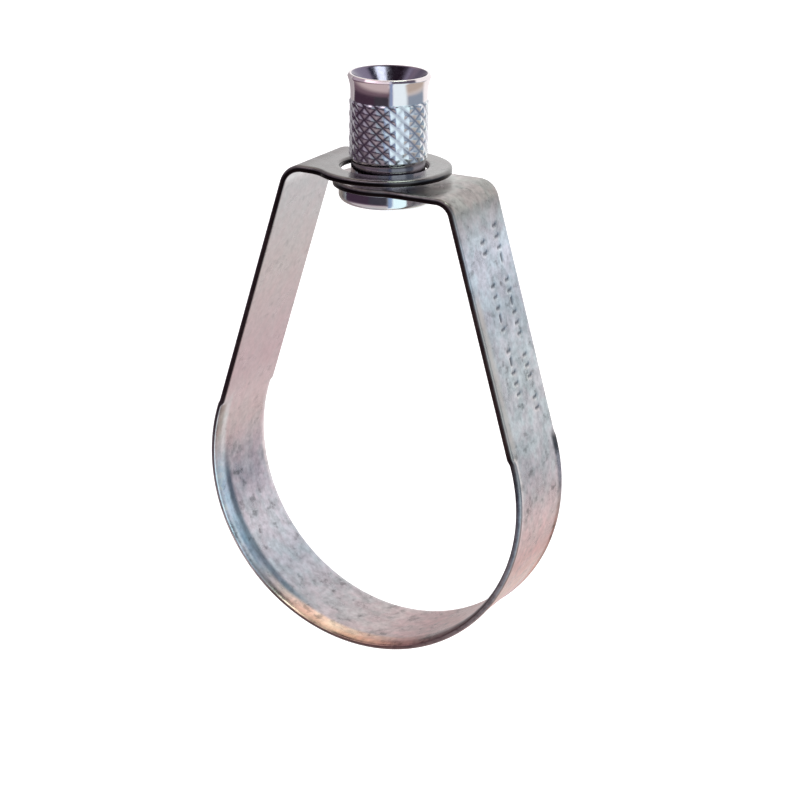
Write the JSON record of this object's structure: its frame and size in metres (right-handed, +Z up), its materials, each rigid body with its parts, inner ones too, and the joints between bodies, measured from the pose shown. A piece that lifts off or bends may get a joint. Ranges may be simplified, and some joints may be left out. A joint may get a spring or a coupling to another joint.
{
  "type": "swivel ring hanger",
  "caption": "Pear-shaped strip-steel ring that hangs a horizontal pipe from a threaded rod, with lapped eyes and a knurled, flanged nut that swivels in them.",
  "frame": {"origin": "centre of the ring, which is the axis of the pipe, half way along the strip's width", "axes": "+Z up along the hanger rod, X across the ring from the leg of the upper eye to the leg of the lower eye, Y along the pipe"},
  "size_m": [0.0704, 0.0264, 0.1158],
  "materials": {
    "galvanised_strip": "pregalvanised strip, mottled grey, with bare sheared edges",
    "zinc_plated_nut": "bright zinc plate, glossy, rolled diamond knurl"
  },
  "bodies": {
    "nut": {"swivel_nut": "zinc_plated_nut"},
    "band": {"ring_band": "galvanised_strip"}
  },
  "joints": [
    {"name": "band_swivel", "type": "hinge", "parent": "nut", "child": "band", "pos_m": [0, 0, 0.059], "axis": [0, 0, 1], "continuous": true}
  ]
}
